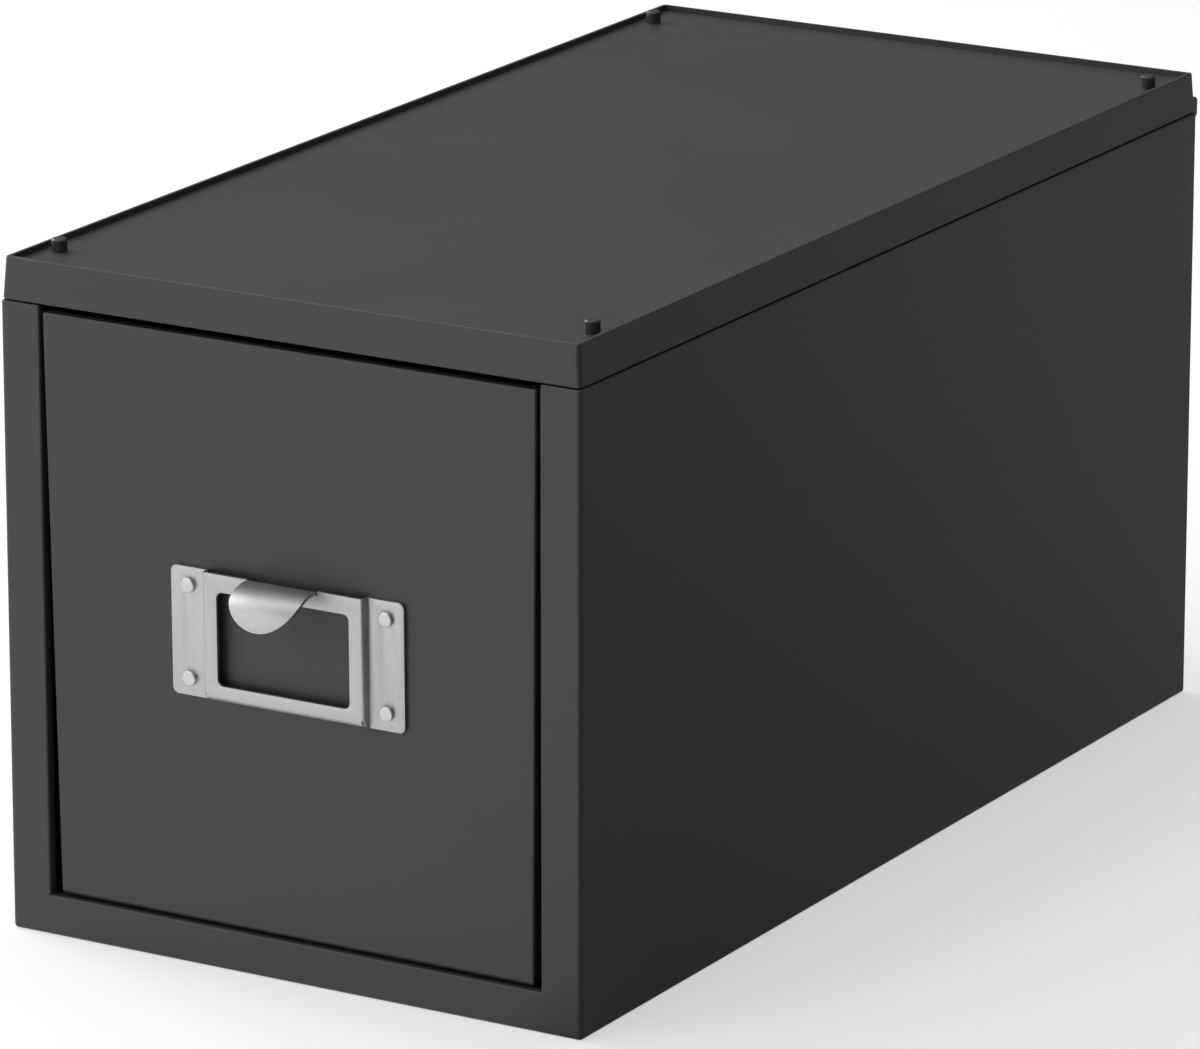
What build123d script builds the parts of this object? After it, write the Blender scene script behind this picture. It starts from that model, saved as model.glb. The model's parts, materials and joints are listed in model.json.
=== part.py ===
from build123d import *
import math
import os

# Desktop file drawer: a stackable moulded case with a hinged lid, one deep drawer
# and a riveted sheet-steel label holder whose tongue is the pull.
# Millimetres. X is the width, -Y is the front, +Z is up.
# The origin is the centre of the case's underside.

# ---------------------------------------------------------------- case
CASE_WIDTH = 175.0
CASE_DEPTH = 343.0
CASE_HEIGHT = 172.0          # underside to the edge that the lid closes on
CASE_WALL = 2.5
CASE_FLOOR = 2.5
CASE_CORNER_RADIUS = 1.2     # the four upright edges
CASE_BASE_RADIUS = 1.0       # the edge that stands on the desk
SEAM_EDGE_RADIUS = 0.4       # soft edges on both sides of the lid's seam

FRAME_THICKNESS = 3.0        # front posts and bottom rail
POST_WIDTH = 12.0
RAIL_HEIGHT = 11.1
OPENING_EDGE_RADIUS = 0.6

RUNNER_WIDTH = 3.0           # floor ribs that the drawer slides on
RUNNER_SPACING = 110.0
GUIDE_COUNT = 3              # upright ribs on each side wall
GUIDE_THICKNESS = 2.0
GUIDE_SPACING = 120.0
GUIDE_HEIGHT = 150.0
REAR_STOP_WIDTH = 3.0        # ribs on the rear wall that the closed drawer meets
REAR_STOP_SPACING = 80.0
REAR_STOP_HEIGHT = 150.0

# ---------------------------------------------------------------- lid
LID_HEIGHT = 11.4
SEAM_GAP = 0.3
LID_INSET = 0.3              # the lid's lower edge stands back from the case by this
LID_SIDE_TAPER = 0.7         # drawn in on each side, from the seam to the rim
LID_FRONT_TAPER = 0.7        # drawn in at the front and the rear
LID_SKIRT = 2.4
LID_PANEL = 2.2
LID_CORNER_RADIUS = 1.2
RIM_HEIGHT = 1.6             # raised rim around the recessed top panel
RIM_WIDTH = 1.2
RIM_EDGE_RADIUS = 0.4
RIM_INNER_RADIUS = 1.0
TIP_RIB_WIDTH = 2.0          # ribs under the lid that keep the drawer from tipping
TIP_RIB_LENGTH = 300.0
TIP_CLEARANCE = 1.1

# ---------------------------------------------------------------- stacking pins and sockets
STACK_SIDE_INSET = 7.0       # pin centre to the case's side
STACK_END_INSET = 17.5       # pin centre to the case's front or rear
STACK_PIN_DIAMETER = 4.2
STACK_PIN_HEIGHT = 3.5
STACK_PIN_CHAMFER = 0.4
SPIGOT_DIAMETER = 3.0
SPIGOT_LENGTH = 6.0
SPIGOT_FIT = 0.03
BOSS_WALL = 2.0
SOCKET_CLEARANCE = 0.3
SOCKET_DEPTH = 5.0
SOCKET_ROOF = 2.0

# ---------------------------------------------------------------- hinge
BARREL_RADIUS = 3.0
BARREL_CLEARANCE = 0.35      # barrel to the case's rear wall
BARREL_CHAMFER = 1.0
HINGE_END_INSET = 3.1        # outer knuckle to the case's side
CASE_KNUCKLE = 8.0
LID_KNUCKLE = 14.0
KNUCKLE_GAP = 0.4
KNUCKLE_WEB_GAP = 0.8
HINGE_PIN_RADIUS = 1.25
HINGE_PIN_FIT = 0.02
HINGE_PIN_RUNNING_FIT = 0.06
HINGE_PIN_RECESS = 0.3

# ---------------------------------------------------------------- drawer
DRAWER_TRAVEL = 280.0
DRAWER_SIDE_GAP_TOP = 1.05   # drawer to post, each side
DRAWER_SIDE_GAP_BASE = 2.9
DRAWER_TOP_GAP = 1.9         # drawer rim to the lid's lower edge
DRAWER_SLIDE_GAP = 0.35      # drawer floor to the rail and the runners
DRAWER_FRONT_LEAN = 1.3      # the base of the front stands back from its top
DRAWER_REAR_GAP = 4.5        # drawer to the case's rear wall
DRAWER_FRONT_WALL = 3.2
DRAWER_WALL = 2.2
DRAWER_FLOOR = 2.4
DRAWER_EDGE_RADIUS = 0.6
DRAWER_BASE_RADIUS = 1.5
DRAWER_INNER_RADIUS = 2.0
GUIDE_CLEARANCE = 0.8
STOP_CLEARANCE = 0.4
STOP_EAR_LENGTH = 12.0
STOP_EAR_HEIGHT = 10.0
STOP_EAR_CATCH = 5.0         # how far each ear reaches behind its post

# ---------------------------------------------------------------- label holder and pull
HOLDER_WIDTH = 70.8
HOLDER_HEIGHT = 34.9
HOLDER_CENTRE_HEIGHT = 91.2  # above the case's underside
SHEET = 1.0
HOLDER_CORNER_RADIUS = 1.8
FRAME_WIDTH = 48.8           # raised middle
FRAME_RAISE = 2.2
STEP_SLANT = 0.6
WINDOW_WIDTH = 40.2
WINDOW_HEIGHT = 25.4
WINDOW_RADIUS = 1.8
LIP_RADIUS = 2.4             # the frame's lower edge is rolled back to the drawer
TONGUE_WIDTH = 21.0
TONGUE_RADIUS = 11.4         # outer surface
TONGUE_RISE = 7.0            # degrees above level where it leaves the frame
TONGUE_DROP = 80.0           # degrees below level at the tip
TONGUE_STRAIGHT = 6.9        # along the outer surface, before the round end
ROOT_RADIUS = 1.4

RIVET_HEAD_DIAMETER = 4.1
RIVET_HEAD_HEIGHT = 0.9
RIVET_HEAD_CHAMFER = 0.25
RIVET_SHANK_DIAMETER = 2.6
RIVET_HOLE_FIT = 0.05
RIVET_SPACING_UP = 25.3
RIVET_TAIL_DIAMETER = 4.0
RIVET_TAIL_HEIGHT = 0.6
WASHER_DIAMETER = 7.0
WASHER_THICKNESS = 0.6

# ---------------------------------------------------------------- places worked out from the sizes
OVERLAP = 0.5                # how far a rib or web runs into the wall that it grows from
CUT_PAST = 1.0               # how far a cut runs past the surface that it opens

HALF_WIDTH = CASE_WIDTH / 2
FRONT = -CASE_DEPTH / 2
REAR = CASE_DEPTH / 2
POST_BACK = FRONT + FRAME_THICKNESS
HALF_OPENING = HALF_WIDTH - POST_WIDTH

LID_BASE = CASE_HEIGHT + SEAM_GAP
LID_TOP = LID_BASE + LID_HEIGHT
PANEL_TOP = LID_TOP - RIM_HEIGHT
PANEL_UNDERSIDE = PANEL_TOP - LID_PANEL
LID_WIDTH = CASE_WIDTH - 2 * LID_INSET
LID_DEPTH = CASE_DEPTH - 2 * LID_INSET

HINGE_Y = REAR + BARREL_CLEARANCE + BARREL_RADIUS
HINGE_Z = CASE_HEIGHT + SEAM_GAP / 2

DRAWER_TOP = LID_BASE - DRAWER_TOP_GAP
DRAWER_BASE = RAIL_HEIGHT + DRAWER_SLIDE_GAP
DRAWER_HALF_TOP = HALF_OPENING - DRAWER_SIDE_GAP_TOP
DRAWER_HALF_BASE = HALF_OPENING - DRAWER_SIDE_GAP_BASE
DRAWER_REAR = REAR - CASE_WALL - DRAWER_REAR_GAP
DRAWER_RISE = DRAWER_TOP - DRAWER_BASE
DRAWER_LEAN = math.degrees(math.atan(DRAWER_FRONT_LEAN / DRAWER_RISE))
EAR_FRONT = POST_BACK + STOP_CLEARANCE + DRAWER_TRAVEL

STACK_X = HALF_WIDTH - STACK_SIDE_INSET
STACK_Y = REAR - STACK_END_INSET

RIVET_X = (HOLDER_WIDTH + FRAME_WIDTH + STEP_SLANT) / 4
RIVET_Y = RIVET_SPACING_UP / 2

SIDES = {"left": -1, "right": 1}
ENDS = {"front": -1, "rear": 1}
ROWS = {"upper": 1, "lower": -1}


def block(x_range, y_range, z_range):
    """A box between two corners, each range in either order."""
    centre = [(low + high) / 2 for low, high in (x_range, y_range, z_range)]
    size = [abs(high - low) for low, high in (x_range, y_range, z_range)]
    return Pos(*centre) * Box(*size)


def drafted_block(base_size, base_centre_y, base_z, top_size, top_centre_y, top_z):
    """A four-sided solid with flat leaning sides; each size is (width, depth)."""
    base = Plane((0, base_centre_y, base_z)) * Rectangle(*base_size)
    top = Plane((0, top_centre_y, top_z)) * Rectangle(*top_size)
    return loft([base, top], ruled=True)


def upright_edges(solid):
    """The four edges of a drafted block that run from its base to its top."""
    return solid.edges().filter_by(lambda edge: abs(edge.tangent_at(0.5).Z) > 0.9)


def ring_sector(centre, inner, outer, start, end):
    """A flat piece of a ring between two angles in degrees."""
    outside = CenterArc(centre, outer, start, end - start)
    inside = CenterArc(centre, inner, start, end - start)
    ends = [Line(outside @ 0, inside @ 0), Line(outside @ 1, inside @ 1)]
    return make_face([outside, inside] + ends)


def drawer_half_width(height):
    """Half the drafted drawer's outer width at a height above the underside."""
    share = (height - DRAWER_BASE) / DRAWER_RISE
    return DRAWER_HALF_BASE + (DRAWER_HALF_TOP - DRAWER_HALF_BASE) * share


# ---------------------------------------------------------------- hinge parts
def knuckle_spans(side):
    """X ranges of one hinge's outer case knuckle, lid knuckle and inner case knuckle."""
    outer = HALF_WIDTH - HINGE_END_INSET
    spans = []
    for length in (CASE_KNUCKLE, LID_KNUCKLE, CASE_KNUCKLE):
        spans.append((side * outer, side * (outer - length)))
        outer -= length + KNUCKLE_GAP
    return spans


def along_x(profile, x_range):
    """Run a profile, drawn as Y and Z offsets from the hinge axis, along an X range."""
    low = min(x_range)
    plane = Plane(origin=(low, HINGE_Y, HINGE_Z), x_dir=(0, 1, 0), z_dir=(1, 0, 0))
    return extrude(plane * profile, max(x_range) - low)


def case_knuckle(x_range):
    """A barrel with a squared back, on a web from the case's rear wall."""
    r = BARREL_RADIUS
    c = BARREL_CHAMFER
    back = Polyline((0, -r), (r - c, -r), (r, c - r), (r, r - c), (r - c, r), (0, r), close=True)
    wall = BARREL_CLEARANCE + r + OVERLAP
    web = Pos(-wall / 2, -(r + KNUCKLE_WEB_GAP) / 2) * Rectangle(wall, r - KNUCKLE_WEB_GAP)
    return along_x(Circle(r) + make_face(back) + web, x_range)


def lid_knuckle(x_range):
    """A round barrel on a web from the lid's leaning rear skirt."""
    r = BARREL_RADIUS
    wall = BARREL_CLEARANCE + r + LID_INSET + LID_FRONT_TAPER * r / LID_HEIGHT + OVERLAP
    web = Pos(-wall / 2, (r + KNUCKLE_WEB_GAP) / 2) * Rectangle(wall, r - KNUCKLE_WEB_GAP)
    return along_x(Circle(r) + web, x_range)


def hinge_bore(x_range, fit):
    """The pin's hole through one knuckle."""
    reach = (min(x_range) - CUT_PAST, max(x_range) + CUT_PAST)
    return along_x(Circle(HINGE_PIN_RADIUS + fit), reach)


def make_hinge_pin(side):
    """A plain steel rod through the three knuckles, just short of both ends."""
    spans = knuckle_spans(side)
    ends = sorted((spans[0][0], spans[2][1]))
    return along_x(Circle(HINGE_PIN_RADIUS), (ends[0] + HINGE_PIN_RECESS, ends[1] - HINGE_PIN_RECESS))


# ---------------------------------------------------------------- case
def case_shell():
    """Floor, three walls, two front posts and the bottom rail, with softened edges."""
    shell = block((-HALF_WIDTH, HALF_WIDTH), (FRONT, REAR), (0, CASE_HEIGHT))
    shell = fillet(shell.edges().filter_by(Axis.Z), CASE_CORNER_RADIUS)
    shell = fillet(shell.faces().sort_by(Axis.Z)[0].edges(), CASE_BASE_RADIUS)
    shell = fillet(shell.faces().sort_by(Axis.Z)[-1].edges(), SEAM_EDGE_RADIUS)
    inside_x = HALF_WIDTH - CASE_WALL
    above = CASE_HEIGHT + CUT_PAST
    shell -= block((-inside_x, inside_x), (POST_BACK, REAR - CASE_WALL), (CASE_FLOOR, above))
    opening = block(
        (-HALF_OPENING, HALF_OPENING), (FRONT - CUT_PAST, POST_BACK + CUT_PAST), (RAIL_HEIGHT, above)
    )
    shell -= opening
    rim = [edge for edge in shell.edges() if is_opening_edge(edge)]
    return fillet(rim, OPENING_EDGE_RADIUS)


def is_opening_edge(edge):
    """True for the front edges of the drawer opening: two posts and the rail."""
    middle = edge @ 0.5
    on_front = abs(middle.Y - FRONT) < 0.01
    on_post = abs(abs(middle.X) - HALF_OPENING) < 0.01
    on_rail = abs(middle.Z - RAIL_HEIGHT) < 0.01
    return on_front and (on_post or on_rail)


def runners():
    """Two floor ribs, as high as the rail, that carry the drawer."""
    ribs = []
    for side in SIDES.values():
        x = side * RUNNER_SPACING / 2
        ribs.append(
            block(
                (x - RUNNER_WIDTH / 2, x + RUNNER_WIDTH / 2),
                (POST_BACK - OVERLAP, REAR - CASE_WALL + OVERLAP),
                (CASE_FLOOR - OVERLAP, RAIL_HEIGHT),
            )
        )
    return ribs


def side_guides():
    """Upright ribs on the side walls whose inner edges follow the drawer's draft."""
    wall = HALF_WIDTH - CASE_WALL + OVERLAP
    base = CASE_FLOOR - OVERLAP
    low = drawer_half_width(base) + GUIDE_CLEARANCE
    high = drawer_half_width(GUIDE_HEIGHT) + GUIDE_CLEARANCE
    ribs = []
    for side in SIDES.values():
        outline = Polyline(
            (side * low, base), (side * high, GUIDE_HEIGHT), (side * wall, GUIDE_HEIGHT),
            (side * wall, base), close=True,
        )
        for index in range(GUIDE_COUNT):
            y = (index - (GUIDE_COUNT - 1) / 2) * GUIDE_SPACING
            plane = Plane(origin=(0, y, 0), x_dir=(1, 0, 0), z_dir=(0, -1, 0))
            ribs.append(extrude(plane * make_face(outline), GUIDE_THICKNESS / 2, both=True))
    return ribs


def rear_stops():
    """Two ribs on the rear wall that the closed drawer comes up against."""
    ribs = []
    for side in SIDES.values():
        x = side * REAR_STOP_SPACING / 2
        ribs.append(
            block(
                (x - REAR_STOP_WIDTH / 2, x + REAR_STOP_WIDTH / 2),
                (DRAWER_REAR + STOP_CLEARANCE, REAR - CASE_WALL + OVERLAP),
                (CASE_FLOOR - OVERLAP, REAR_STOP_HEIGHT),
            )
        )
    return ribs


def make_case_body():
    """The open-topped case with its ribs, stacking sockets and hinge knuckles."""
    body = case_shell()
    for rib in runners() + side_guides() + rear_stops():
        body += rib
    socket_radius = STACK_PIN_DIAMETER / 2 + SOCKET_CLEARANCE
    boss_height = SOCKET_DEPTH + SOCKET_ROOF
    for x in (-STACK_X, STACK_X):
        for y in (-STACK_Y, STACK_Y):
            rise = boss_height - CASE_FLOOR + OVERLAP
            boss = Cylinder(socket_radius + BOSS_WALL, rise, align=(Align.CENTER, Align.CENTER, Align.MIN))
            body += Pos(x, y, CASE_FLOOR - OVERLAP) * boss
            depth = SOCKET_DEPTH + CUT_PAST
            socket = Cylinder(socket_radius, depth, align=(Align.CENTER, Align.CENTER, Align.MIN))
            body -= Pos(x, y, -CUT_PAST) * socket
    for side in SIDES.values():
        outer, _, inner = knuckle_spans(side)
        for span in (outer, inner):
            body += case_knuckle(span)
            body -= hinge_bore(span, HINGE_PIN_FIT)
    return body


# ---------------------------------------------------------------- lid
def make_lid():
    """A shallow cap with a leaning skirt, a recessed panel inside a rim, ribs and bosses."""
    top_width = LID_WIDTH - 2 * LID_SIDE_TAPER
    top_depth = LID_DEPTH - 2 * LID_FRONT_TAPER
    lid = drafted_block((LID_WIDTH, LID_DEPTH), 0, LID_BASE, (top_width, top_depth), 0, LID_TOP)
    lid = fillet(upright_edges(lid), LID_CORNER_RADIUS)
    lid = fillet(lid.faces().sort_by(Axis.Z)[0].edges(), SEAM_EDGE_RADIUS)
    lid = fillet(lid.faces().sort_by(Axis.Z)[-1].edges(), RIM_EDGE_RADIUS)
    recess = RectangleRounded(top_width - 2 * RIM_WIDTH, top_depth - 2 * RIM_WIDTH, RIM_INNER_RADIUS)
    lid -= Pos(0, 0, PANEL_TOP) * extrude(recess, RIM_HEIGHT + CUT_PAST)
    pocket_x = LID_WIDTH / 2 - LID_SKIRT
    pocket_y = LID_DEPTH / 2 - LID_SKIRT
    lid -= block(
        (-pocket_x, pocket_x), (-pocket_y, pocket_y), (LID_BASE - CUT_PAST, PANEL_UNDERSIDE)
    )
    rib_x = DRAWER_HALF_TOP - DRAWER_WALL / 2
    rib_z = (DRAWER_TOP + TIP_CLEARANCE, PANEL_UNDERSIDE + OVERLAP)
    for side in SIDES.values():
        rib = (side * rib_x - TIP_RIB_WIDTH / 2, side * rib_x + TIP_RIB_WIDTH / 2)
        lid += block(rib, (-TIP_RIB_LENGTH / 2, TIP_RIB_LENGTH / 2), rib_z)
        span = knuckle_spans(side)[1]
        lid += lid_knuckle(span)
        lid -= hinge_bore(span, HINGE_PIN_RUNNING_FIT)
    spigot_hole = SPIGOT_DIAMETER / 2 + SPIGOT_FIT
    boss_drop = SPIGOT_LENGTH - LID_PANEL + OVERLAP
    for x in (-STACK_X, STACK_X):
        for y in (-STACK_Y, STACK_Y):
            boss = Cylinder(spigot_hole + BOSS_WALL, boss_drop, align=(Align.CENTER, Align.CENTER, Align.MAX))
            lid += Pos(x, y, PANEL_UNDERSIDE + OVERLAP) * boss
            hole = Cylinder(spigot_hole, 4 * SPIGOT_LENGTH)
            lid -= Pos(x, y, PANEL_TOP) * hole
    return lid


def make_stacking_pin(x, y):
    """A chamfered peg that stands on the lid's panel, with a spigot down into its boss."""
    bottom = (Align.CENTER, Align.CENTER, Align.MIN)
    peg = Cylinder(STACK_PIN_DIAMETER / 2, STACK_PIN_HEIGHT, align=bottom)
    peg = chamfer(peg.edges().sort_by(Axis.Z)[-1], STACK_PIN_CHAMFER)
    peg += Cylinder(SPIGOT_DIAMETER / 2, SPIGOT_LENGTH, align=(Align.CENTER, Align.CENTER, Align.MAX))
    return Pos(x, y, PANEL_TOP) * peg


# ---------------------------------------------------------------- drawer
def drafted_tray(wall, front_wall, base_z, top_z):
    """The drawer's drafted outer form, drawn in by its walls and cut at two heights."""
    front_top = FRONT + front_wall
    rear_top = DRAWER_REAR - wall
    slope = DRAWER_FRONT_LEAN / DRAWER_RISE
    sections = []
    for height in (base_z, top_z):
        lean = (DRAWER_TOP - height) * slope
        width = 2 * (drawer_half_width(height) - wall)
        depth = (rear_top - lean) - (front_top + lean)
        sections += [(width, depth), (rear_top + front_top) / 2, height]
    return drafted_block(*sections)


def make_drawer_tray():
    """An open tray with drafted walls and two rim ears that stop it behind the posts."""
    tray = drafted_tray(0, 0, DRAWER_BASE, DRAWER_TOP)
    tray = fillet(tray.faces().sort_by(Axis.Z)[0].edges(), DRAWER_BASE_RADIUS)
    tray = fillet(upright_edges(tray).sort_by(Edge.length)[-4:], DRAWER_EDGE_RADIUS)
    tray = fillet(tray.faces().sort_by(Axis.Z)[-1].edges(), DRAWER_EDGE_RADIUS)
    hollow = drafted_tray(
        DRAWER_WALL, DRAWER_FRONT_WALL, DRAWER_BASE + DRAWER_FLOOR, DRAWER_TOP + CUT_PAST
    )
    hollow = fillet(upright_edges(hollow), DRAWER_INNER_RADIUS)
    tray -= hollow
    ear_z = (DRAWER_TOP - STOP_EAR_HEIGHT, DRAWER_TOP)
    ear_start = drawer_half_width(ear_z[0]) - DRAWER_WALL / 2
    for side in SIDES.values():
        reach = (side * ear_start, side * (HALF_OPENING + STOP_EAR_CATCH))
        tray += block(reach, (EAR_FRONT, EAR_FRONT + STOP_EAR_LENGTH), ear_z)
    for x, y in rivet_places():
        shank = Cylinder(RIVET_SHANK_DIAMETER / 2 + RIVET_HOLE_FIT, 4 * DRAWER_FRONT_WALL)
        tray -= on_drawer_front(Pos(x, y, 0) * shank)
    return tray


def on_drawer_front(shape):
    """Move a shape from the holder's own frame (X right, Y up, Z outwards) to the leaning front."""
    stand_back = (DRAWER_TOP - HOLDER_CENTRE_HEIGHT) * DRAWER_FRONT_LEAN / DRAWER_RISE
    centre = (0, FRONT + stand_back, HOLDER_CENTRE_HEIGHT)
    lean = math.radians(DRAWER_LEAN)
    face = Plane(origin=centre, x_dir=(1, 0, 0), z_dir=(0, -math.cos(lean), -math.sin(lean)))
    return face.location * shape


# ---------------------------------------------------------------- label holder
def holder_sheet():
    """The flanges and the raised middle as one bent sheet, with round outer corners."""
    edge = HOLDER_WIDTH / 2
    foot = FRAME_WIDTH / 2 + STEP_SLANT
    face = FRAME_WIDTH / 2
    front = FRAME_RAISE + SHEET
    right_front = [(edge, SHEET), (foot, SHEET), (face, front)]
    right_back = [(face - SHEET, FRAME_RAISE), (foot - SHEET, 0), (edge, 0)]
    left_back = [(-x, z) for x, z in reversed(right_back)]
    left_front = [(-x, z) for x, z in reversed(right_front)]
    outline = Polyline(*right_back, *right_front, *left_front, *left_back, close=True)
    section = Plane(origin=(0, 0, 0), x_dir=(1, 0, 0), z_dir=(0, -1, 0)) * make_face(outline)
    sheet = extrude(section, HOLDER_HEIGHT / 2, both=True)
    corners = [e for e in sheet.edges().filter_by(Axis.Z) if abs((e @ 0.5).X) > edge - 0.01]
    return fillet(corners, HOLDER_CORNER_RADIUS)


def beside_x(profile, width):
    """Run a profile, drawn as outward and upward offsets, equally to both sides along X."""
    plane = Plane(origin=(0, 0, 0), x_dir=(0, 0, 1), z_dir=(-1, 0, 0))
    return extrude(plane * profile, width / 2, both=True)


def rolled_lip():
    """The frame's lower edge, rolled back until it meets the drawer front."""
    centre = (FRAME_RAISE + SHEET - LIP_RADIUS, LIP_RADIUS - HOLDER_HEIGHT / 2)
    bend = ring_sector(centre, LIP_RADIUS - SHEET, LIP_RADIUS, -90, 0)
    back = Pos(centre[0] / 2, (SHEET - HOLDER_HEIGHT) / 2) * Rectangle(centre[0], SHEET)
    return beside_x(bend + back, FRAME_WIDTH - SHEET)


def tongue():
    """The pull: a strip that leaves the frame's top edge, curves over and ends round."""
    turned = 90 + TONGUE_RISE
    root = (FRAME_RAISE + ROOT_RADIUS, HOLDER_HEIGHT / 2 - ROOT_RADIUS)
    step = TONGUE_RADIUS - ROOT_RADIUS
    up = math.radians(turned)
    hub = (root[0] - step * math.cos(up), root[1] - step * math.sin(up))
    bend = ring_sector(root, ROOT_RADIUS - SHEET, ROOT_RADIUS, turned, 180)
    curve = ring_sector(hub, TONGUE_RADIUS - SHEET, TONGUE_RADIUS, 90 - TONGUE_DROP, turned)
    strip = beside_x(bend + curve, TONGUE_WIDTH)

    # The round end is cut square to the chord of the strip's last stretch.
    start = turned - math.degrees(TONGUE_STRAIGHT / TONGUE_RADIUS)
    half_turn = math.radians(start - (90 - TONGUE_DROP)) / 2
    middle = math.radians(start) - half_turn
    reach = 2 * TONGUE_RADIUS * math.sin(half_turn)
    at = (hub[0] + TONGUE_RADIUS * math.cos(math.radians(start)),
          hub[1] + TONGUE_RADIUS * math.sin(math.radians(start)))
    normal = (0, math.sin(middle), math.cos(middle))
    chord = Plane(origin=(0, at[1], at[0]), x_dir=(1, 0, 0), z_dir=normal)
    back = 2 * TONGUE_RADIUS
    outline = Ellipse(TONGUE_WIDTH / 2, reach) + Pos(0, back / 2) * Rectangle(TONGUE_WIDTH, back)
    return strip & extrude(chord * outline, 2 * TONGUE_RADIUS, both=True)


def make_label_holder():
    """The one-piece stamped label holder with its window and pull tongue."""
    holder = holder_sheet()
    low = -HOLDER_HEIGHT / 2
    inside = FRAME_WIDTH / 2 - SHEET / 2
    holder -= block(
        (-inside, inside), (low - CUT_PAST, low + LIP_RADIUS), (-CUT_PAST, 2 * (FRAME_RAISE + SHEET))
    )
    holder += rolled_lip()
    holder += tongue()
    window = RectangleRounded(WINDOW_WIDTH, WINDOW_HEIGHT, WINDOW_RADIUS)
    holder -= Pos(0, 0, FRAME_RAISE - CUT_PAST) * extrude(window, SHEET + 2 * CUT_PAST)
    for x, y in rivet_places():
        holder -= Pos(x, y, 0) * Cylinder(RIVET_SHANK_DIAMETER / 2 + RIVET_HOLE_FIT, 4 * SHEET)
    return on_drawer_front(holder)


def rivet_places():
    """Rivet centres in the holder's own frame."""
    return [(side * RIVET_X, row * RIVET_Y) for side in SIDES.values() for row in ROWS.values()]


def make_rivet(x, y):
    """Flat head outside, shank through holder and drawer front, upset tail inside."""
    bottom = (Align.CENTER, Align.CENTER, Align.MIN)
    top = (Align.CENTER, Align.CENTER, Align.MAX)
    head = Cylinder(RIVET_HEAD_DIAMETER / 2, RIVET_HEAD_HEIGHT, align=bottom)
    head = chamfer(head.edges().sort_by(Axis.Z)[-1], RIVET_HEAD_CHAMFER)
    grip = SHEET + DRAWER_FRONT_WALL + WASHER_THICKNESS
    shank = Cylinder(RIVET_SHANK_DIAMETER / 2, grip, align=top)
    tail = Cylinder(RIVET_TAIL_DIAMETER / 2, RIVET_TAIL_HEIGHT, align=top)
    rivet = Pos(0, 0, SHEET) * (head + shank + Pos(0, 0, -grip) * tail)
    return on_drawer_front(Pos(x, y, 0) * rivet)


def make_washer(x, y):
    """The washer under a rivet's tail, on the inner face of the drawer front."""
    top = (Align.CENTER, Align.CENTER, Align.MAX)
    washer = Cylinder(WASHER_DIAMETER / 2, WASHER_THICKNESS, align=top)
    washer -= Cylinder(RIVET_SHANK_DIAMETER / 2 + RIVET_HOLE_FIT, 4 * WASHER_THICKNESS)
    return on_drawer_front(Pos(x, y, -DRAWER_FRONT_WALL) * washer)


def all_parts():
    """Every piece under its node name."""
    parts = {
        "case_body": make_case_body(),
        "lid": make_lid(),
        "drawer_tray": make_drawer_tray(),
        "label_holder": make_label_holder(),
    }
    for side, sign in SIDES.items():
        parts[f"hinge_pin_{side}"] = make_hinge_pin(sign)
        for end, direction in ENDS.items():
            parts[f"stacking_pin_{end}_{side}"] = make_stacking_pin(sign * STACK_X, direction * STACK_Y)
        for row, direction in ROWS.items():
            parts[f"rivet_{row}_{side}"] = make_rivet(sign * RIVET_X, direction * RIVET_Y)
            parts[f"rivet_washer_{row}_{side}"] = make_washer(sign * RIVET_X, direction * RIVET_Y)
    return parts


os.makedirs("parts", exist_ok=True)
for name, shape in all_parts().items():
    export_step(shape, f"parts/{name}.step")
    print(f"{name}: {len(shape.solids())} solid, {shape.volume:.1f} mm3")
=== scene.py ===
import json
import math

import bmesh
import bpy
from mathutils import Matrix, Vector


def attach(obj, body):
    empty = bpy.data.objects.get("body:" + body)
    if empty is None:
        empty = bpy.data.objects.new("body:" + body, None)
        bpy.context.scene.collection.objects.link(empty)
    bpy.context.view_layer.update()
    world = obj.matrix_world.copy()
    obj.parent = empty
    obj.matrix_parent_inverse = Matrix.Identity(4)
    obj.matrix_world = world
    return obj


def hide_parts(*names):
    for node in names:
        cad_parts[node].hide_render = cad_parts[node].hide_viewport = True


# Desktop file drawer: the looks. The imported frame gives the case, lid, drawer, hinge pins,
# stacking pins and washers; the label holder and its rivets are modelled here as bent and
# upset metal. Metres, in the frame's own axes: X width, -Y front, +Z up.

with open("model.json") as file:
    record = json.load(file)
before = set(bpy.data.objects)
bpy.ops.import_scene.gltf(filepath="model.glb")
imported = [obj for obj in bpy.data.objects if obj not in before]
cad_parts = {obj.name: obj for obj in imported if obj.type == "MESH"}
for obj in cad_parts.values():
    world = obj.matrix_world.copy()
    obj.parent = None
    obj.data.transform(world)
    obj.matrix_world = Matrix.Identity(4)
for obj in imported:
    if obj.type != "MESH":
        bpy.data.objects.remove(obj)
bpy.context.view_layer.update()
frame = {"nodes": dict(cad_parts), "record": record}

MM = 0.001

# The drawer's front draws in below its top edge, by FRONT_LEAN at its foot. FRONT_Y is where it
# stands at the height of the holder's centre.
HOLDER_Z = 91.2 * MM
DRAWER_TOP = 170.4 * MM
DRAWER_TOP_Y = -171.5 * MM
DRAWER_RISE = 158.95 * MM
FRONT_LEAN = 1.3 * MM
FRONT_Y = DRAWER_TOP_Y + (DRAWER_TOP - HOLDER_Z) * FRONT_LEAN / DRAWER_RISE
LEAN_ANGLE = math.atan(FRONT_LEAN / DRAWER_RISE)
DRAWER_FRONT_WALL = 3.2 * MM

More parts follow.
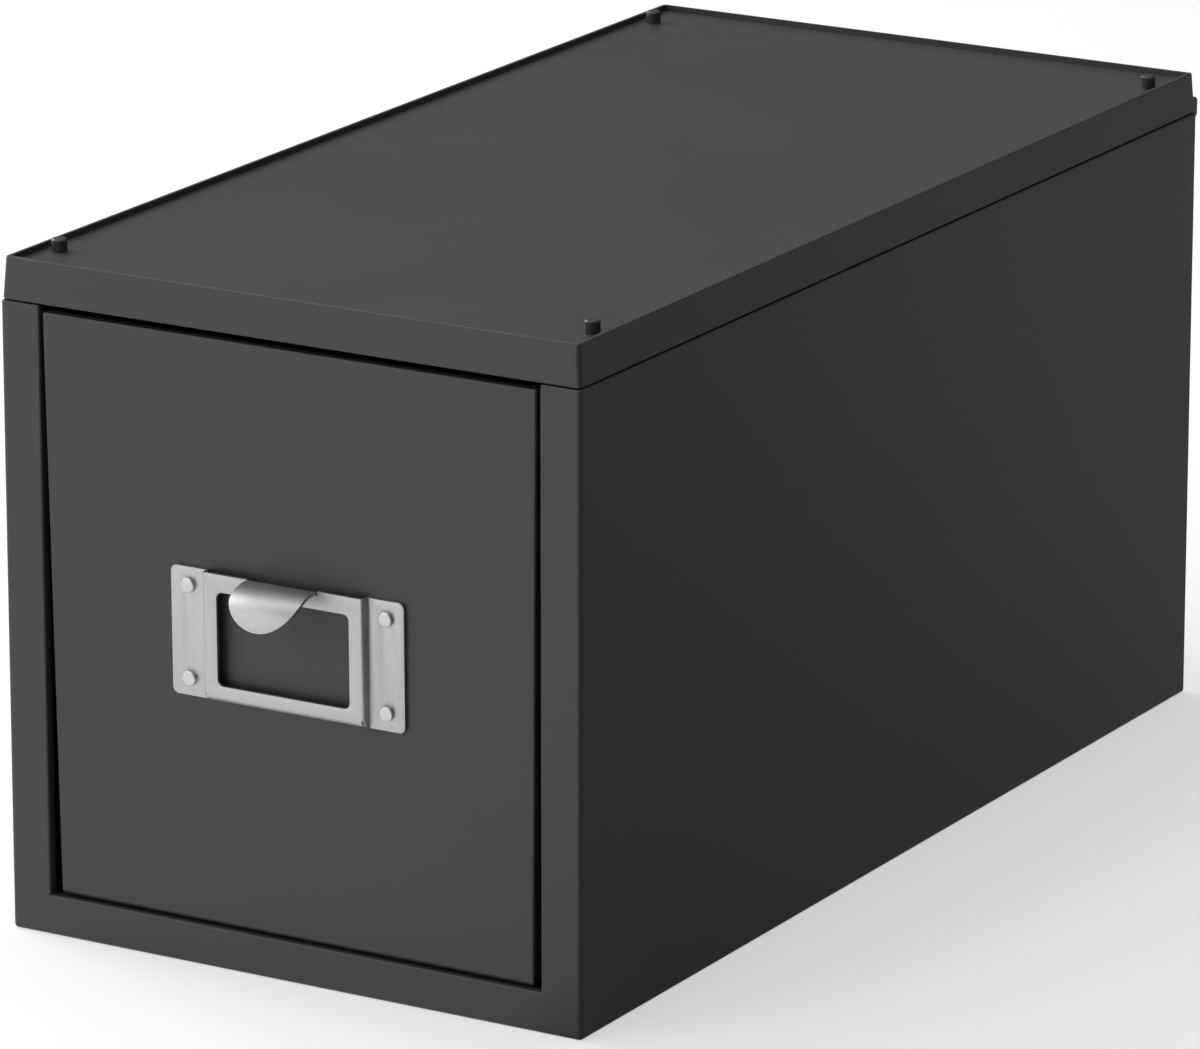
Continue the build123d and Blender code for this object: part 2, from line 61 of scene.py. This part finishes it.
# Label holder: one sheet, raised in the middle, with a flange on each side.
SHEET = 1.0 * MM
SHEET_EDGE = 0.12 * MM
HOLDER_WIDTH = 70.8 * MM
HOLDER_HEIGHT = 34.9 * MM
HOLDER_CORNER = 1.8 * MM
FRAME_WIDTH = 48.8 * MM
FRAME_RAISE = 2.2 * MM
STEP_SLANT = 0.6 * MM
FOLD_RADIUS = 0.35 * MM
WINDOW_WIDTH = 40.2 * MM
WINDOW_HEIGHT = 25.4 * MM
WINDOW_CORNER = 1.8 * MM

# The sheet's middle surface: the raised face, and the holder's outer edge.
FACE_X = FRAME_WIDTH / 2 - SHEET / 2
FACE_Y = FRONT_Y - FRAME_RAISE - SHEET / 2
EDGE_X = HOLDER_WIDTH / 2

# Its lower edge is rolled back to the drawer. LIP_NOTCH frees the roll from the steps beside it.
# The steps end on the line STEP_TRIM, whose points lie so far back and up from the roll's start.
LIP_RADIUS = 2.4 * MM
LIP_NOTCH = 0.45 * MM
LIP_X = FACE_X - LIP_NOTCH
LIP_Z = HOLDER_Z - HOLDER_HEIGHT / 2 + LIP_RADIUS
STEP_TRIM = ((0.0, 0.0), (0.35 * MM, -1.8 * MM), (1.6 * MM, -2.4 * MM))

# The pull tongue on its upper edge leaves a tight root bend at TONGUE_RISE degrees above level,
# and curves over until it points TONGUE_DROP degrees below level. It keeps its full width for
# the length TONGUE_STRAIGHT, and then narrows to a round end.
TONGUE_WIDTH = 21.0 * MM
TONGUE_RADIUS = 11.4 * MM
TONGUE_RISE = 7.0
TONGUE_DROP = 80.0
TONGUE_STRAIGHT = 6.9 * MM
ROOT_RADIUS = 1.4 * MM
ROOT_SLOT = 0.12 * MM
ROOT_Z = HOLDER_Z + HOLDER_HEIGHT / 2 - ROOT_RADIUS
TONGUE_X = TONGUE_WIDTH / 2
SLOT_X = TONGUE_X + ROOT_SLOT

# Rivets. Each ring of the crowned head is an inset, and a rise as a share of the head's height.
RIVET_X = 30.05 * MM
RIVET_Z = 12.65 * MM
RIVET_HEAD_RADIUS = 2.05 * MM
RIVET_HEAD_HEIGHT = 0.9 * MM
RIVET_HEAD_UPRIGHT = 0.66 * RIVET_HEAD_HEIGHT
RIVET_CROWN = ((0.06 * MM, 0.18), (0.14 * MM, 0.10), (0.45 * MM, 0.05), (0.7 * MM, 0.01))
RIVET_SHANK_RADIUS = 1.3 * MM
RIVET_HOLE_RADIUS = 1.35 * MM
RIVET_TAIL_RADIUS = 2.0 * MM
RIVET_TAIL_HEIGHT = 0.6 * MM
RIVET_TAIL_DIMPLE = 0.3 * MM
RIVET_EDGE = 0.08 * MM
WASHER_THICKNESS = 0.6 * MM

# How finely round shapes are divided.
FOLD_STEPS = 4
ROLL_STEPS = 8
HOLDER_CORNER_STEPS = 8
WINDOW_CORNER_STEPS = 10
TONGUE_STRAIGHT_STEPS = 5
TONGUE_END_STEPS = 16
HOLE_SIDES = 32
RIVET_SIDES = 48
EDGE_STEPS = 2

# Edges that turn more than SHARP_EDGE are softened, and those that turn less than the SMOOTH
# angles are shaded smooth.
QUARTER_TURN = math.radians(90)
SHARP_EDGE = math.radians(50)
SMOOTH_SHEET = math.radians(35)
SMOOTH_RIVET = math.radians(40)

# Camera, found from the corners of the case in the photograph: place in metres, angles in
# degrees, lens and sensor in millimetres.
CAMERA_PLACE = (1.09008, -1.8656, 0.71768)
CAMERA_TILT = 73.576
CAMERA_SWING = 30.479
CAMERA_LENS = 246.16
CAMERA_SENSOR = 36

# Studio.
CASE_MIDDLE = (0, 0, 0.09)
FLOOR_SIZE = 16
PAPER_GLOW = 0.5
ROOM_LIGHT = 0.14


# ---------------------------------------------------------------- modelling helpers
def begin(add_primitive, name, stretch=(1, 1, 1), **settings):
    """Add a primitive on its own, stretch it along its own axes and open it in edit mode."""
    bpy.ops.object.select_all(action="DESELECT")
    add_primitive(**settings)
    piece = bpy.context.object
    piece.name = name
    piece.data.name = name
    piece.scale = stretch
    bpy.ops.object.transform_apply(location=True, rotation=True, scale=True)
    bpy.ops.object.mode_set(mode="EDIT")
    bpy.ops.mesh.select_all(action="DESELECT")
    return piece


def middle_of(item):
    """Where a vertex, edge or face is."""
    if isinstance(item, bmesh.types.BMVert):
        return item.co.copy()
    return sum((vert.co for vert in item.verts), Vector()) / len(item.verts)


def pick(kind, test):
    """Select the verts, edges or faces whose middle passes the test, and nothing else."""
    mesh = bpy.context.object.data
    bpy.ops.mesh.select_mode(type={"verts": "VERT", "edges": "EDGE", "faces": "FACE"}[kind])
    bpy.ops.mesh.select_all(action="DESELECT")
    shape = bmesh.from_edit_mesh(mesh)
    for item in getattr(shape, kind):
        if test(middle_of(item)):
            item.select_set(True)
    shape.select_flush_mode()
    bmesh.update_edit_mesh(mesh)


def near(value, target):
    """True within a hundredth of a millimetre."""
    return abs(value - target) < 0.01 * MM


def end_edit():
    """Leave edit mode, with the normals facing outwards."""
    bpy.ops.mesh.select_all(action="SELECT")
    bpy.ops.mesh.normals_make_consistent(inside=False)
    bpy.ops.object.mode_set(mode="OBJECT")


def modify(piece, kind, **settings):
    """Add one modifier, set it and apply it."""
    modifier = piece.modifiers.new(kind.title(), kind)
    for name, value in settings.items():
        setattr(modifier, name, value)
    bpy.context.view_layer.objects.active = piece
    bpy.ops.object.modifier_apply(modifier=modifier.name)


def only(piece):
    """Make one object the selected and active one."""
    bpy.ops.object.select_all(action="DESELECT")
    piece.select_set(True)
    bpy.context.view_layer.objects.active = piece


def turn(angle, centre):
    """Turn what is selected about a line along X, by the right-hand rule."""
    bpy.ops.transform.rotate(value=-angle, orient_axis="X", orient_type="GLOBAL",
                             center_override=centre)


def curl(angle, centre, steps):
    """Sweep the selected edges about a line along X, by the right-hand rule."""
    bpy.ops.mesh.spin(steps=steps, angle=-angle, center=centre, axis=(1, 0, 0))


def push(x=0.0, y=0.0):
    """Extrude the selected edges and move them."""
    bpy.ops.mesh.extrude_edges_move(TRANSFORM_OT_translate={"value": (x, y, 0)})


def extend(distance):
    """Extrude the selected faces to the rear."""
    bpy.ops.mesh.extrude_region_move(TRANSFORM_OT_translate={"value": (0, distance, 0)})


def cut_away(piece, cutter):
    """Take one solid out of another and drop the cutter."""
    only(piece)
    modify(piece, "BOOLEAN", object=cutter, operation="DIFFERENCE", solver="EXACT")
    bpy.data.objects.remove(cutter)


def soften(piece, width, smooth_below, **settings):
    """Round the sharp edges a little and shade the round faces smooth."""
    modify(piece, "BEVEL", width=width, segments=EDGE_STEPS, limit_method="ANGLE",
           angle_limit=SHARP_EDGE, **settings)
    bpy.ops.object.shade_smooth_by_angle(angle=smooth_below)


def lean_with_drawer(piece):
    """Turn a finished piece with the leaning drawer front, about the holder's centre."""
    only(piece)
    bpy.ops.object.mode_set(mode="EDIT")
    bpy.ops.mesh.select_all(action="SELECT")
    turn(LEAN_ANGLE, (0, FRONT_Y, HOLDER_Z))
    bpy.ops.object.mode_set(mode="OBJECT")


# ---------------------------------------------------------------- label holder
def fold_flanges():
    """The steps and flanges, folded out from both sides of the raised face."""
    for side in (-1, 1):
        pick("edges", lambda at: near(at.x, side * FACE_X))
        push(x=side * STEP_SLANT, y=FRAME_RAISE)
        push(x=side * (EDGE_X - FACE_X - STEP_SLANT))
    pick("edges", lambda at: near(abs(at.x), FACE_X) or near(abs(at.x), FACE_X + STEP_SLANT))
    bpy.ops.mesh.bevel(offset=FOLD_RADIUS, affect="EDGES", segments=FOLD_STEPS)
    pick("verts", lambda at: near(abs(at.x), EDGE_X))
    bpy.ops.mesh.bevel(offset=HOLDER_CORNER, affect="VERTICES", segments=HOLDER_CORNER_STEPS)


def part_lip_and_tongue():
    """Score the face where the lip and the tongue part from it, and clear what they leave."""
    scores = [((0, 0, z), (0, 0, 1)) for z in (LIP_Z, ROOT_Z)]
    scores += [((x, 0, 0), (1, 0, 0)) for x in (-LIP_X, -SLOT_X, -TONGUE_X, TONGUE_X, SLOT_X, LIP_X)]
    for place, across in scores:
        pick("faces", lambda at: near(at.y, FACE_Y))
        bpy.ops.mesh.bisect(plane_co=place, plane_no=across)
    pick("faces", lambda at: near(at.y, FACE_Y)
         and (at.z < LIP_Z or (at.z > ROOT_Z and abs(at.x) < SLOT_X)))
    bpy.ops.mesh.delete(type="FACE")


def trim_steps():
    """Round the steps' lower ends, so that they follow the lip."""
    for (y1, z1), (y2, z2) in zip(STEP_TRIM, STEP_TRIM[1:]):
        # Cutting planes need a normal of unit length.
        outwards = Vector((0, z2 - z1, y1 - y2)).normalized()
        pick("faces", lambda at: FACE_X - FOLD_RADIUS < abs(at.x) < FACE_X + STEP_SLANT)
        bpy.ops.mesh.bisect(plane_co=(0, FACE_Y + y1, LIP_Z + z1), plane_no=outwards,
                            clear_outer=True)


def roll_lip():
    """The lower lip: a quarter roll, then straight back to the drawer."""
    bend = LIP_RADIUS - SHEET / 2
    pick("edges", lambda at: near(at.z, LIP_Z) and near(at.y, FACE_Y) and abs(at.x) < LIP_X)
    curl(QUARTER_TURN, (0, FACE_Y + bend, LIP_Z), ROLL_STEPS)
    push(y=FRAME_RAISE + SHEET / 2 - bend)


def curl_tongue():
    """The tongue: a tight bend outwards, then a long curve over and down to a round end."""
    root_y = FACE_Y - (ROOT_RADIUS - SHEET / 2)
    root_turn = math.radians(90 - TONGUE_RISE)
    pick("edges", lambda at: near(at.z, ROOT_Z) and near(at.y, FACE_Y) and abs(at.x) < TONGUE_X)
    curl(root_turn, (0, root_y, ROOT_Z), ROLL_STEPS)

    reach = TONGUE_RADIUS - ROOT_RADIUS
    rise = math.radians(TONGUE_RISE)
    hub = (0, root_y - reach * math.sin(rise), ROOT_Z - reach * math.cos(rise))
    straight = TONGUE_STRAIGHT / TONGUE_RADIUS
    curl(straight, hub, TONGUE_STRAIGHT_STEPS)

    # The round end: each row goes on round the hub and is narrower, and the last is a point.
    half = (math.radians(TONGUE_RISE + TONGUE_DROP) - straight) / 2
    turned, width = 0.0, 1.0
    for row in range(1, TONGUE_END_STEPS + 1):
        quarter = QUARTER_TURN * row / TONGUE_END_STEPS
        angle = half + math.asin(math.sin(half) * (2 * math.sin(quarter) - 1))
        push()
        turn(angle - turned, hub)
        if row < TONGUE_END_STEPS:
            narrower = math.cos(quarter) / width
            bpy.ops.transform.resize(value=(narrower, 1, 1), center_override=hub)
        else:
            bpy.ops.mesh.merge(type="CENTER")
        turned, width = angle, math.cos(quarter)


def make_holder_sheet():
    """The middle surface of the pressed sheet: raised face, steps, flanges, lip and tongue."""
    holder = begin(
        bpy.ops.mesh.primitive_plane_add, "label_holder_pressing", (2 * FACE_X, HOLDER_HEIGHT, 1),
        size=1, location=(0, FACE_Y, HOLDER_Z), rotation=(QUARTER_TURN, 0, 0),
    )
    fold_flanges()
    part_lip_and_tongue()
    trim_steps()
    roll_lip()
    curl_tongue()
    end_edit()
    return holder


def make_window_cutter():
    """A block with round corners, as large as the window."""
    cutter = begin(
        bpy.ops.mesh.primitive_cube_add, "window_cutter", (WINDOW_WIDTH, 3 * SHEET, WINDOW_HEIGHT),
        size=1, location=(0, FACE_Y, HOLDER_Z),
    )
    pick("edges", lambda at: near(abs(at.x), WINDOW_WIDTH / 2)
         and near(abs(at.z - HOLDER_Z), WINDOW_HEIGHT / 2))
    bpy.ops.mesh.bevel(offset=WINDOW_CORNER, affect="EDGES", segments=WINDOW_CORNER_STEPS)
    end_edit()
    return cutter


def make_hole_cutter(x, z):
    """A drill for one rivet's hole."""
    cutter = begin(
        bpy.ops.mesh.primitive_cylinder_add, "hole_cutter", vertices=HOLE_SIDES,
        radius=RIVET_HOLE_RADIUS, depth=4 * SHEET, location=(x, FRONT_Y, HOLDER_Z + z),
        rotation=(QUARTER_TURN, 0, 0),
    )
    end_edit()
    return cutter


def make_label_holder():
    """The pressed steel holder: sheet thickness, window, rivet holes and softened edges."""
    holder = make_holder_sheet()
    only(holder)
    modify(holder, "SOLIDIFY", thickness=SHEET, offset=0.0, use_even_offset=True)
    cut_away(holder, make_window_cutter())
    for x in (-RIVET_X, RIVET_X):
        for z in (-RIVET_Z, RIVET_Z):
            cut_away(holder, make_hole_cutter(x, z))
    soften(holder, SHEET_EDGE, SMOOTH_SHEET, use_clamp_overlap=False)
    lean_with_drawer(holder)
    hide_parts("label_holder")
    return holder


# ---------------------------------------------------------------- rivets
def make_first_rivet():
    """A rivet with a low crowned head, its shank, and the tail upset over the washer."""
    head_back = FRONT_Y - SHEET
    rivet = begin(
        bpy.ops.mesh.primitive_cylinder_add, "rivet_head_upper_right", vertices=RIVET_SIDES,
        radius=RIVET_HEAD_RADIUS, depth=RIVET_HEAD_UPRIGHT, rotation=(QUARTER_TURN, 0, 0),
        location=(RIVET_X, head_back - RIVET_HEAD_UPRIGHT / 2, HOLDER_Z + RIVET_Z),
    )
    pick("faces", lambda at: near(at.y, head_back - RIVET_HEAD_UPRIGHT))
    for inset, rise in RIVET_CROWN:
        bpy.ops.mesh.inset(thickness=inset)
        bpy.ops.transform.translate(value=(0, -rise * RIVET_HEAD_HEIGHT, 0))

    pick("faces", lambda at: near(at.y, head_back))
    bpy.ops.mesh.inset(thickness=RIVET_HEAD_RADIUS - RIVET_SHANK_RADIUS)
    extend(SHEET + DRAWER_FRONT_WALL + WASHER_THICKNESS)
    # The tail: the shank's end spread out in place, then made as thick as the tail.
    extend(0)
    spread = RIVET_TAIL_RADIUS / RIVET_SHANK_RADIUS
    bpy.ops.transform.resize(value=(spread, 1, spread))
    extend(RIVET_TAIL_HEIGHT)
    bpy.ops.mesh.inset(thickness=RIVET_TAIL_DIMPLE)
    end_edit()
    only(rivet)
    soften(rivet, RIVET_EDGE, SMOOTH_RIVET)
    return rivet


def make_rivets():
    """One rivet, copied to the other three places."""
    first = make_first_rivet()
    rivets = [first]
    for side, x in (("right", 0.0), ("left", -2 * RIVET_X)):
        for row, z in (("upper", 0.0), ("lower", -2 * RIVET_Z)):
            if (side, row) == ("right", "upper"):
                continue
            only(first)
            bpy.ops.object.duplicate(linked=False)
            bpy.ops.transform.translate(value=(x, 0, z))
            bpy.ops.object.transform_apply(location=True, rotation=True, scale=True)
            rivets.append(bpy.context.object)
            rivets[-1].name = f"rivet_head_{row}_{side}"
    for rivet in rivets:
        lean_with_drawer(rivet)
        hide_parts(rivet.name.replace("_head", ""))
    return rivets


# ---------------------------------------------------------------- finishes
def srgb(code):
    """A hex colour as the linear values that shaders take."""
    values = [int(code[start:start + 2], 16) / 255 for start in (1, 3, 5)]
    linear = [v / 12.92 if v <= 0.04045 else ((v + 0.055) / 1.055) ** 2.4 for v in values]
    return (*linear, 1.0)


def add(material, kind, settings=None, links=None):
    """Add a node. Settings go to its options or inputs; links feed its inputs from outputs."""
    node = material.node_tree.nodes.new(kind)
    for name, value in (settings or {}).items():
        if hasattr(node, str(name)):
            setattr(node, name, value)
        else:
            node.inputs[name].default_value = value
    for name, source in (links or {}).items():
        join(material, source, node.inputs[name])
    return node


def join(material, source, target):
    """Link an output to an input."""
    material.node_tree.links.new(source, target)


def new_finish(name):
    """An empty material with its shader, joined to the output."""
    material = bpy.data.materials.new(name)
    material.use_nodes = True
    material.node_tree.nodes.clear()
    shader = add(material, "ShaderNodeBsdfPrincipled")
    add(material, "ShaderNodeOutputMaterial", links={"Surface": shader.outputs["BSDF"]})
    return material, shader


def colour_and_gloss(material, shader, source, dark, light, roughness, spread):
    """Let one pattern drive the colour between two tones, and the roughness about its middle."""
    colour = add(material, "ShaderNodeValToRGB", links={"Fac": source})
    for element, position, tone in zip(colour.color_ramp.elements, (0.3, 0.7), (dark, light)):
        element.position = position
        element.color = srgb(tone)
    join(material, colour.outputs["Color"], shader.inputs["Base Color"])
    gloss = add(material, "ShaderNodeMapRange",
                {"To Min": roughness - spread, "To Max": roughness + spread}, {"Value": source})
    join(material, gloss.outputs["Result"], shader.inputs["Roughness"])


def relief(material, shader, source, strength, depth):
    """Let a pattern raise the surface a little."""
    bump = add(material, "ShaderNodeBump", {"Strength": strength, "Distance": depth},
               {"Height": source})
    join(material, bump.outputs["Normal"], shader.inputs["Normal"])


def moulded_plastic(name, dark, light, roughness):
    """ABS from a spark-eroded mould: satin, with a fine even grain and faint flow marks."""
    material, shader = new_finish(name)
    shader.inputs["IOR"].default_value = 1.54
    place = add(material, "ShaderNodeTexCoord").outputs["Object"]
    # The real grain is about 0.1 mm; it is drawn at 0.45 mm, the finest that shows.
    grain = add(material, "ShaderNodeTexNoise",
                {"Scale": 1 / (0.45 * MM), "Detail": 2.0, "Roughness": 0.6}, {"Vector": place})
    # Flow marks, about 40 mm across.
    flow = add(material, "ShaderNodeTexNoise",
               {"Scale": 1 / (40 * MM), "Detail": 3.0, "Roughness": 0.45}, {"Vector": place})
    # The pattern is 0.35 of the grain and 0.65 of the flow marks.
    grain_part = add(material, "ShaderNodeMath", {"operation": "MULTIPLY_ADD", 1: 0.35, 2: 0.0},
                     {0: grain.outputs["Fac"]})
    pattern = add(material, "ShaderNodeMath", {"operation": "MULTIPLY_ADD", 1: 0.65},
                  {0: flow.outputs["Fac"], 2: grain_part.outputs["Value"]})
    colour_and_gloss(material, shader, pattern.outputs["Value"], dark, light, roughness, 0.04)
    relief(material, shader, grain.outputs["Fac"], 0.12, 0.02 * MM)
    return material


def metal(name, dark, light, roughness, grain_size, strength):
    """A bare metal with fine marks; their size in millimetres is given along each axis."""
    material, shader = new_finish(name)
    shader.inputs["Metallic"].default_value = 1.0
    place = add(material, "ShaderNodeTexCoord").outputs["Object"]
    scaled = add(material, "ShaderNodeMapping",
                 {"Scale": tuple(1 / (size * MM) for size in grain_size)}, {"Vector": place})
    marks = add(material, "ShaderNodeTexNoise", {"Scale": 1.0, "Detail": 3.0, "Roughness": 0.65},
                {"Vector": scaled.outputs["Vector"]})
    colour_and_gloss(material, shader, marks.outputs["Fac"], dark, light, roughness, 0.06)
    relief(material, shader, marks.outputs["Fac"], strength, 0.01 * MM)
    return material


# Dark grey ABS: an even satin skin that goes from near black in the gaps to mid grey where it
# grazes light.
case_plastic = moulded_plastic("satin_moulded_ABS", "#363637", "#3a3a3b", 0.45)
# The stacking pins are a second moulding of the same plastic, a touch darker and smoother.
pin_plastic = moulded_plastic("satin_moulded_ABS_pin", "#323233", "#363637", 0.42)
# Stainless sheet, finely brushed along the holder: a soft neutral sheen with a faint speckle.
# The real lines are 0.05 mm apart; they are drawn 0.3 mm apart and 0.6 mm long, so that they show.
stainless = metal("brushed_stainless_steel", "#b5b5b4", "#c3c3c2", 0.46, (0.6, 0.3, 0.3), 0.12)
# Aluminium rivets, dulled by the riveting tool: whiter than the steel round them.
aluminium = metal("turned_aluminium", "#c5c5c5", "#d2d2d1", 0.36, (0.35, 0.35, 0.35), 0.12)
# Zinc plating on the washers: a bluish, slightly cloudy grey.
zinc = metal("zinc_plated_steel", "#a8aaab", "#bcbdbd", 0.35, (0.4, 0.4, 0.4), 0.15)
# Drawn steel rod: fine lines along the hinge pin, 0.15 mm apart.
steel_rod = metal("drawn_steel_rod", "#8f8f90", "#a5a5a6", 0.3, (3.0, 0.15, 0.15), 0.15)

NODE_FINISHES = {
    "moulded_plastic": case_plastic,
    "pin_plastic": pin_plastic,
    "stainless_sheet": stainless,
    "rivet_metal": aluminium,
    "washer_metal": zinc,
    "steel_rod": steel_rod,
}
for subpart in frame["record"]["subparts"]:
    node = frame["nodes"][subpart["node"]]
    node.material_slots[0].material = NODE_FINISHES[subpart["material_slot"]]


def dress(piece, body, finish):
    """Give a new piece its finish and the body that carries it."""
    piece.data.materials.clear()
    piece.data.materials.append(finish)
    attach(piece, body)


dress(make_label_holder(), "drawer", stainless)
for rivet in make_rivets():
    dress(rivet, "drawer", aluminium)


# ---------------------------------------------------------------- studio
def painted_dark_reflection(material, is_glossy):
    """A painted reflection beside the case: a grey glow on the paper, lighter to the rear, that only
    reflections see.

    It paints shade on the case's right side. Returns how far it covers the paper, and its light.
    """
    place = add(material, "ShaderNodeTexCoord").outputs["Object"]
    along = add(material, "ShaderNodeSeparateXYZ", links={"Vector": place}).outputs
    beside = add(material, "ShaderNodeMapRange", {"From Min": 0.06, "From Max": 0.09},
                 {"Value": along["X"]})
    share = add(material, "ShaderNodeMath", {"operation": "MULTIPLY"},
                {0: beside.outputs["Result"], 1: is_glossy})
    # The painted shade on the case's right side gets lighter towards the rear.
    rearward = add(material, "ShaderNodeMath", {"operation": "SUBTRACT"},
                   {0: along["Y"], 1: along["X"]})
    grey = add(material, "ShaderNodeMapRange",
               {"From Min": -0.2, "From Max": 0.25, "To Min": 0.16, "To Max": 0.4},
               {"Value": rearward.outputs["Value"]})
    # Painted reflection: a grey glow that only reflections see, which paints shade on the case's
    # right side.
    painted_reflection_patch = add(material, "ShaderNodeEmission", links={"Strength": grey.outputs["Result"]})
    return share.outputs["Value"], painted_reflection_patch.outputs["Emission"]


def floor_paper():
    """Pale matt paper that shows white to the camera and in the metal, and keeps the shadow."""
    material, paper = new_finish("pale_studio_paper")
    paper.inputs["Base Color"].default_value = srgb("#c8c8c8")
    paper.inputs["Roughness"].default_value = 0.9
    paper.inputs["Specular IOR Level"].default_value = 0.1
    rays = add(material, "ShaderNodeLightPath").outputs
    seen = add(material, "ShaderNodeMath", {"operation": "MAXIMUM"},
               {0: rays["Is Camera Ray"], 1: rays["Is Glossy Ray"]})
    level = add(material, "ShaderNodeMath", {"operation": "MULTIPLY", 1: PAPER_GLOW},
                {0: seen.outputs["Value"]})
    glow = add(material, "ShaderNodeEmission", links={"Strength": level.outputs["Value"]})
    white = add(material, "ShaderNodeAddShader",
                links={0: paper.outputs["BSDF"], 1: glow.outputs["Emission"]})
    # Mix in the painted reflection: beside the case, reflections see a grey glow instead of white
    # paper, which paints shade on the case's right side.
    painted_reflection_share, painted_reflection_glow = painted_dark_reflection(material, rays["Is Glossy Ray"])
    both = add(material, "ShaderNodeMixShader",
               links={0: painted_reflection_share, 1: white.outputs["Shader"], 2: painted_reflection_glow})
    output = material.node_tree.get_output_node("ALL")
    join(material, both.outputs["Shader"], output.inputs["Surface"])
    return material


def add_floor():
    """A wide plain floor."""
    bpy.ops.object.select_all(action="DESELECT")
    bpy.ops.mesh.primitive_plane_add(size=FLOOR_SIZE, location=(0, 0, 0))
    floor = bpy.context.object
    floor.name = "studio_floor"
    floor.data.materials.append(floor_paper())


def add_lamp(name, place, size, power):
    """A square soft box that faces the middle of the case."""
    data = bpy.data.lights.new(name, "AREA")
    data.shape = "SQUARE"
    data.size = size
    data.energy = power
    lamp = bpy.data.objects.new(name, data)
    lamp.location = place
    aim = Vector(CASE_MIDDLE) - Vector(place)
    lamp.rotation_euler = aim.to_track_quat("-Z", "Y").to_euler()
    bpy.context.scene.collection.objects.link(lamp)


def add_camera():
    """The photograph's view of the case."""
    data = bpy.data.cameras.new("photo_camera")
    data.sensor_fit = "HORIZONTAL"
    data.sensor_width = CAMERA_SENSOR
    data.lens = CAMERA_LENS
    camera = bpy.data.objects.new("photo_camera", data)
    camera.location = CAMERA_PLACE
    camera.rotation_euler = (math.radians(CAMERA_TILT), 0, math.radians(CAMERA_SWING))
    bpy.context.scene.collection.objects.link(camera)
    bpy.context.scene.camera = camera


def add_world():
    """A dim even room, so that the shadows aren't black."""
    world = bpy.data.worlds.new("dim_room")
    world.use_nodes = True
    background = world.node_tree.nodes["Background"]
    background.inputs["Color"].default_value = (1, 1, 1, 1)
    background.inputs["Strength"].default_value = ROOM_LIGHT
    bpy.context.scene.world = world


add_floor()
add_camera()
add_world()
# Each soft box: where it hangs and its width in metres, and its power in watts.
add_lamp("overhead_softbox", (-0.3, 0.0, 2.0), 2.2, 22)
add_lamp("front_left_softbox", (-1.2, -2.2, 0.9), 2.4, 24)
add_lamp("left_softbox", (-2.2, 0.1, 1.3), 1.4, 42)
add_lamp("rear_left_softbox", (-1.4, 1.7, 1.4), 1.8, 1.0)
bpy.context.scene.view_settings.view_transform = "Standard"
